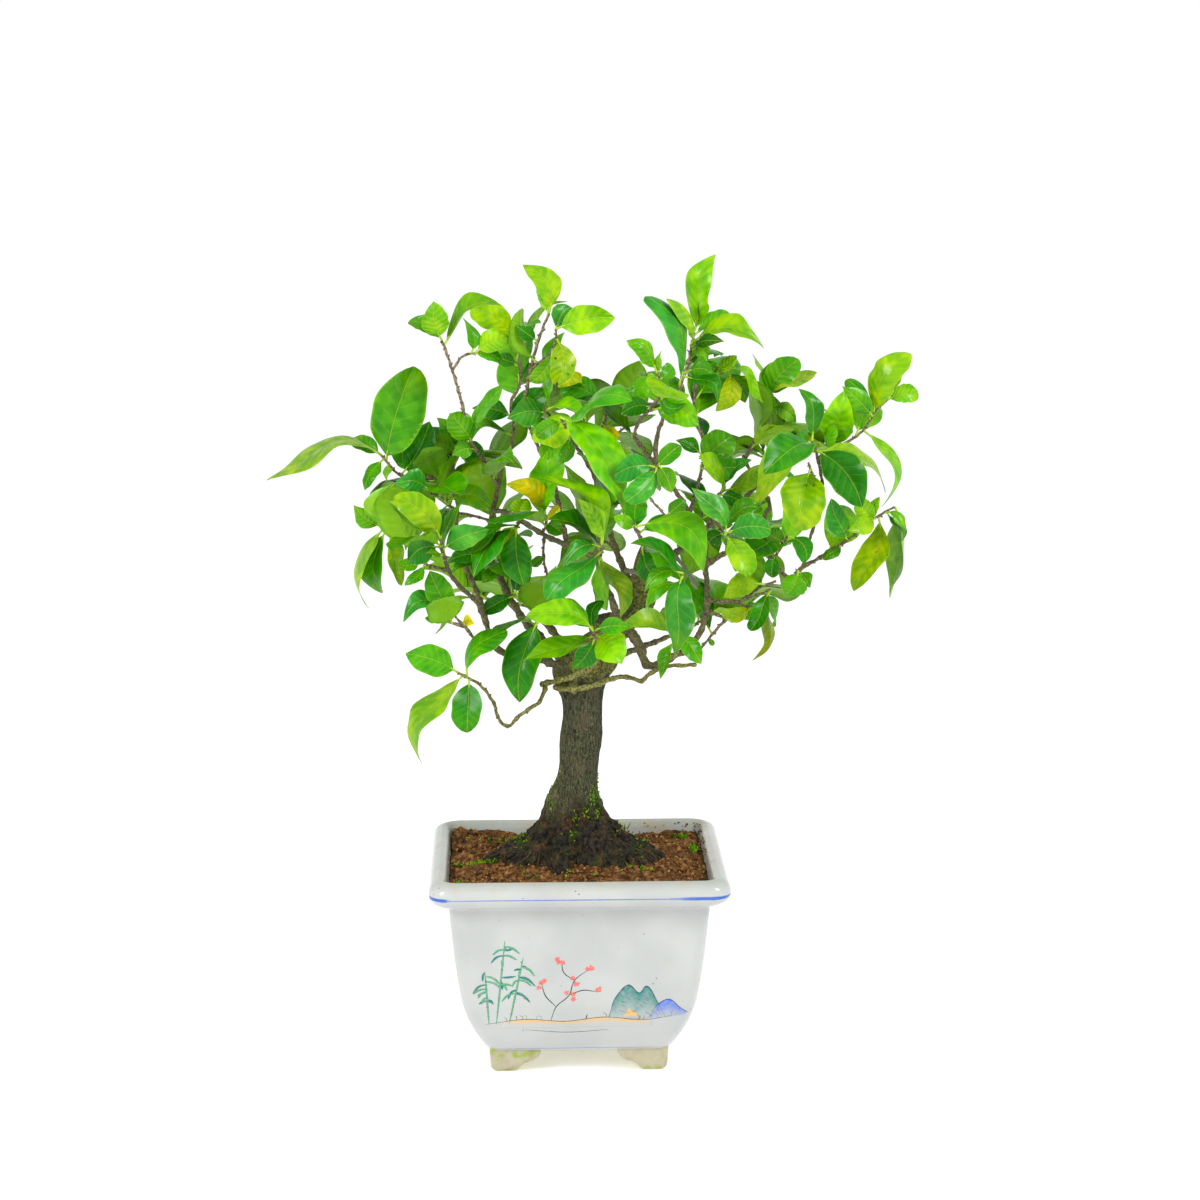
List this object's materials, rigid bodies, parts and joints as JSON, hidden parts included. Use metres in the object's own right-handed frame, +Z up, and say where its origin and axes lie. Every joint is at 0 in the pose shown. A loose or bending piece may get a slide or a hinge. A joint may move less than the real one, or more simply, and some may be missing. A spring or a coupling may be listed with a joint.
{
  "type": "persimmon bonsai in a pot",
  "caption": "Small persimmon bonsai: a dark trunk on spreading surface roots, knobbly limbs and an open leafy crown, growing in a glazed porcelain pot on bracket feet.",
  "frame": {"origin": "under the middle of the whole plant's box, on the surface that the pot's feet stand on", "axes": "+Z up along the trunk, +X along the pot's long side to the viewer's right, +Y away from the viewer along the pot's short side"},
  "size_m": [0.3562, 0.2042, 0.4517],
  "materials": {
    "glaze": "gloss",
    "soil": "matte",
    "mesh": "matte",
    "bark": "matte",
    "foliage": "satin"
  },
  "bodies": {
    "root": {"pot": "glaze", "soil": "soil", "drain_mesh": "mesh", "trunk": "bark", "spray_low_left": "foliage", "spray_left_fork": "foliage", "spray_left_dark": "foliage", "spray_left_bend": "foliage", "spray_left_limb": "foliage", "spray_left_middle": "foliage", "spray_left_hanging": "foliage", "spray_left_upper": "foliage", "spray_left_inner": "foliage", "spray_left_shade": "foliage", "spray_top_left": "foliage", "spray_top_inner": "foliage", "spray_top_middle": "foliage", "spray_crown_left": "foliage", "spray_crown_front": "foliage", "spray_crown_middle": "foliage", "spray_crown_right": "foliage", "spray_top_right": "foliage", "spray_top_far_right": "foliage", "spray_upper_right": "foliage", "spray_right_top": "foliage", "spray_right_cluster": "foliage", "spray_right_round": "foliage", "spray_right_end": "foliage", "spray_right_low": "foliage", "spray_right_drop": "foliage", "spray_right_middle": "foliage", "spray_low_right": "foliage", "spray_low_knot": "foliage", "spray_right_inner": "foliage", "spray_centre": "foliage", "spray_cross_up": "foliage", "spray_cross_down": "foliage", "spray_cross_front": "foliage", "spray_centre_low": "foliage", "spray_centre_right": "foliage", "spray_front_top": "foliage", "spray_low_middle": "foliage", "spray_back_left": "foliage", "spray_back_left_low": "foliage", "spray_back_middle": "foliage", "spray_back_middle_low": "foliage", "spray_back_right": "foliage", "spray_back_right_low": "foliage", "spray_back_low": "foliage"}
  },
  "joints": []
}
